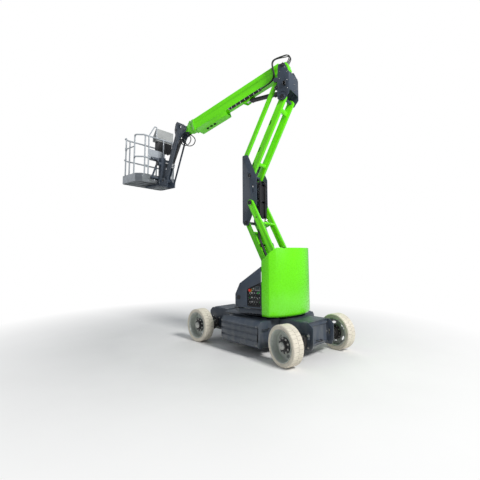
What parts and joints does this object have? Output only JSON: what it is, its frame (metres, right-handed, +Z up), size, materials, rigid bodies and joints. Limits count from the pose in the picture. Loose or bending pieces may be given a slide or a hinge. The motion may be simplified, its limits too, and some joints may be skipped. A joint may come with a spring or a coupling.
{
  "type": "articulating boom lift",
  "caption": "Self-propelled articulating boom lift: wheeled chassis, slewing turret, folding riser, telescopic boom, jib and rail basket.",
  "frame": {"origin": "middle of the object's box, on the ground", "axes": "+X towards the basket along the turret and boom, +Y to the machine's left, +Z up"},
  "size_m": [4.8967, 2.0904, 5.0397],
  "materials": {
    "barrel_paint": "gloss",
    "black_paint": "satin",
    "chain_plastic": "matte",
    "chromed_rod": "polished",
    "console_plastic": "matte",
    "floor_aluminium": "satin",
    "lime_casting": "painted",
    "lime_paint": "gloss",
    "rail_paint": "satin",
    "rim_paint": "satin",
    "slate_paint": "satin",
    "slate_plastic": "satin",
    "tyre_rubber": "matte"
  },
  "bodies": {
    "chassis": {"chassis_frame": "slate_paint", "battery_box_left": "slate_paint", "battery_box_right": "slate_paint", "steer_axle": "black_paint", "drive_axle": "black_paint", "slew_ring": "black_paint"},
    "knuckle_left": {"knuckle_left": "black_paint"},
    "knuckle_right": {"knuckle_right": "black_paint"},
    "turret": {"turret_frame": "slate_paint", "counterweight": "lime_casting", "control_panel": "black_paint", "hinge_post_left": "slate_paint", "hinge_post_right": "slate_paint"},
    "cover_left": {"cover_left": "slate_plastic"},
    "cover_right": {"cover_right": "slate_plastic"},
    "lower_arms": {"lower_arms": "lime_paint"},
    "lower_link": {"lower_link": "lime_paint"},
    "riser_barrel": {"riser_barrel": "barrel_paint"},
    "riser_rod": {"riser_rod": "chromed_rod"},
    "pillar": {"pillar": "slate_paint"},
    "upper_arms": {"upper_arms": "lime_paint"},
    "tie_bar": {"tie_bar": "lime_paint"},
    "top_knuckle": {"top_knuckle": "slate_paint"},
    "boom": {"main_boom": "lime_paint", "energy_chain": "chain_plastic"},
    "luff_barrel": {"luff_barrel": "barrel_paint"},
    "luff_rod": {"luff_rod": "chromed_rod"},
    "fly_boom": {"fly_boom": "lime_paint"},
    "boom_head": {"boom_head": "slate_paint"},
    "jib_arm": {"jib_arm": "slate_paint"},
    "jib_link": {"jib_link": "slate_paint"},
    "jib_barrel": {"jib_barrel": "barrel_paint"},
    "jib_rod": {"jib_rod": "chromed_rod"},
    "basket_support": {"basket_support": "slate_paint"},
    "basket": {"basket_mast": "slate_paint", "basket_floor": "floor_aluminium", "rails_rear": "rail_paint", "rails_right": "rail_paint", "rails_front": "rail_paint", "rails_entry_front": "rail_paint", "rails_entry_rear": "rail_paint", "console": "console_plastic", "rear_panel": "rail_paint"},
    "entry_bar": {"entry_bar": "rail_paint"},
    "wheel_rear_left": {"tyre_rear_left": "tyre_rubber", "rim_rear_left": "rim_paint", "hub_rear_left": "black_paint"},
    "wheel_rear_right": {"tyre_rear_right": "tyre_rubber", "rim_rear_right": "rim_paint", "hub_rear_right": "black_paint"},
    "wheel_front_left": {"tyre_front_left": "tyre_rubber", "rim_front_left": "rim_paint", "hub_front_left": "black_paint"},
    "wheel_front_right": {"tyre_front_right": "tyre_rubber", "rim_front_right": "rim_paint", "hub_front_right": "black_paint"}
  },
  "joints": [
    {"name": "steer_left", "type": "hinge", "parent": "chassis", "child": "knuckle_left", "pos_m": [-1.86196, 0.69378, 0.285], "axis": [0, 0, 1], "range_deg": [-24.5, 45.5]},
    {"name": "steer_right", "type": "hinge", "parent": "chassis", "child": "knuckle_right", "pos_m": [-2.09421, -0.2377, 0.285], "axis": [0, 0, 1], "range_deg": [-24.5, 45.5]},
    {"name": "wheel_rear_left_spin", "type": "hinge", "parent": "knuckle_left", "child": "wheel_rear_left", "pos_m": [-1.78939, 0.85302, 0.285], "axis": [0.4147, 0.91, 0], "continuous": true},
    {"name": "wheel_rear_right_spin", "type": "hinge", "parent": "knuckle_right", "child": "wheel_rear_right", "pos_m": [-2.15692, -0.40108, 0.285], "axis": [0.3584, 0.9336, 0], "continuous": true},
    {"name": "wheel_front_left_spin", "type": "hinge", "parent": "chassis", "child": "wheel_front_left", "pos_m": [0.12096, 0.37974, 0.285], "axis": [0.2419, 0.9703, 0], "continuous": true},
    {"name": "wheel_front_right_spin", "type": "hinge", "parent": "chassis", "child": "wheel_front_right", "pos_m": [-0.19595, -0.89135, 0.285], "axis": [0.2419, 0.9703, 0], "continuous": true},
    {"name": "slew", "type": "hinge", "parent": "chassis", "child": "turret", "pos_m": [-1.00779, -0.01388, 0.62], "axis": [0, 0, 1], "range_deg": [-191.5, 163.5]},
    {"name": "cover_left_hinge", "type": "hinge", "parent": "turret", "child": "cover_left", "pos_m": [-0.80579, 0.61012, 0.9], "axis": [0, 0, -1], "range_deg": [0, 100]},
    {"name": "cover_right_hinge", "type": "hinge", "parent": "turret", "child": "cover_right", "pos_m": [-0.80579, -0.63788, 0.9], "axis": [0, 0, 1], "range_deg": [0, 100]},
    {"name": "riser", "type": "hinge", "parent": "turret", "child": "lower_arms", "pos_m": [-1.50779, -0.01388, 1.16], "axis": [0, -1, 0], "range_deg": [-54.5, 10]},
    {"name": "lower_link_pivot", "type": "hinge", "parent": "turret", "child": "lower_link", "pos_m": [-1.38779, -0.01388, 0.81], "axis": [0, -1, 0], "range_deg": [-54.5, 10]},
    {"name": "riser_barrel_pivot", "type": "hinge", "parent": "turret", "child": "riser_barrel", "pos_m": [-1.43779, -0.01388, 0.93], "axis": [0, -1, 0], "range_deg": [-49.65, 10.05]},
    {"name": "riser_rod_slide", "type": "slide", "parent": "riser_barrel", "child": "riser_rod", "axis": [0.3529, 0, 0.9357], "range_m": [-0.1891, 0.0388]},
    {"name": "pillar_pivot", "type": "hinge", "parent": "lower_arms", "child": "pillar", "pos_m": [-0.88355, -0.01388, 2.46875], "axis": [0, -1, 0], "range_deg": [-10, 54.5]},
    {"name": "upper_arms_pivot", "type": "hinge", "parent": "pillar", "child": "upper_arms", "pos_m": [-0.84355, -0.01388, 2.97875], "axis": [0, -1, 0], "range_deg": [-10, 54.5]},
    {"name": "tie_bar_pivot", "type": "hinge", "parent": "pillar", "child": "tie_bar", "pos_m": [-0.71755, -0.01388, 3.32375], "axis": [0, -1, 0], "range_deg": [-10, 54.5]},
    {"name": "top_knuckle_pivot", "type": "hinge", "parent": "upper_arms", "child": "top_knuckle", "pos_m": [-1.51768, -0.01388, 4.30753], "axis": [0, -1, 0], "range_deg": [-54.5, 10]},
    {"name": "luff", "type": "hinge", "parent": "top_knuckle", "child": "boom", "pos_m": [-1.53168, -0.01388, 4.89053], "axis": [0, 1, 0], "range_deg": [-89, 3]},
    {"name": "luff_barrel_pivot", "type": "hinge", "parent": "top_knuckle", "child": "luff_barrel", "pos_m": [-1.41368, -0.01388, 4.49853], "axis": [0, 1, 0], "range_deg": [-77.21, 4.11]},
    {"name": "luff_rod_slide", "type": "slide", "parent": "luff_barrel", "child": "luff_rod", "axis": [0.9998, 0, 0.0197], "range_m": [-0.0244, 0.5797]},
    {"name": "telescope", "type": "slide", "parent": "boom", "child": "fly_boom", "axis": [0.9563, 0, -0.2924], "range_m": [0, 1.6]},
    {"name": "boom_head_level", "type": "hinge", "parent": "fly_boom", "child": "boom_head", "pos_m": [0.83551, -0.01388, 4.22955], "axis": [0, 1, 0], "range_deg": [-3, 89]},
    {"name": "jib", "type": "hinge", "parent": "boom_head", "child": "jib_arm", "pos_m": [1.08551, -0.01388, 4.26755], "axis": [0, 1, 0], "range_deg": [-143, 2]},
    {"name": "jib_link_pivot", "type": "hinge", "parent": "boom_head", "child": "jib_link", "pos_m": [0.98551, -0.01388, 4.15255], "axis": [0, 1, 0], "range_deg": [-143, 2]},
    {"name": "jib_barrel_pivot", "type": "hinge", "parent": "boom_head", "child": "jib_barrel", "pos_m": [1.03051, -0.01388, 4.05955], "axis": [0, 1, 0], "range_deg": [-139.77, 4.69]},
    {"name": "jib_rod_slide", "type": "slide", "parent": "jib_barrel", "child": "jib_rod", "axis": [0.419, 0, -0.908], "range_m": [-0.0109, 0.4293]},
    {"name": "basket_level", "type": "hinge", "parent": "jib_arm", "child": "basket_support", "pos_m": [1.44406, -0.01388, 3.19594], "axis": [0, 1, 0], "range_deg": [-2, 143]},
    {"name": "basket_turn", "type": "hinge", "parent": "basket_support", "child": "basket", "pos_m": [1.58406, -0.01388, 3.19294], "axis": [0, 0, 1], "range_deg": [-76.5, 93.5]},
    {"name": "entry_bar_hinge", "type": "hinge", "parent": "basket", "child": "entry_bar", "pos_m": [2.33251, 0.40984, 3.96794], "axis": [0, 0, 1], "range_deg": [0, 90]}
  ],
  "couplings": [
    {"joint": "steer_right", "follows": "steer_left", "ratio": 1},
    {"joint": "lower_link_pivot", "follows": "riser", "ratio": 1},
    {"joint": "riser_barrel_pivot", "follows": "riser", "ratio": 0.89},
    {"joint": "riser_rod_slide", "follows": "riser", "m_per_rad": 0.1935},
    {"joint": "pillar_pivot", "follows": "riser", "ratio": -1},
    {"joint": "upper_arms_pivot", "follows": "riser", "ratio": -1},
    {"joint": "tie_bar_pivot", "follows": "riser", "ratio": -1},
    {"joint": "top_knuckle_pivot", "follows": "riser", "ratio": 1},
    {"joint": "luff_barrel_pivot", "follows": "luff", "ratio": 0.85},
    {"joint": "luff_rod_slide", "follows": "luff", "m_per_rad": -0.37},
    {"joint": "boom_head_level", "follows": "luff", "ratio": -1},
    {"joint": "jib_link_pivot", "follows": "jib", "ratio": 1},
    {"joint": "jib_barrel_pivot", "follows": "jib", "ratio": 0.958},
    {"joint": "jib_rod_slide", "follows": "jib", "m_per_rad": -0.17},
    {"joint": "basket_level", "follows": "jib", "ratio": -1}
  ]
}
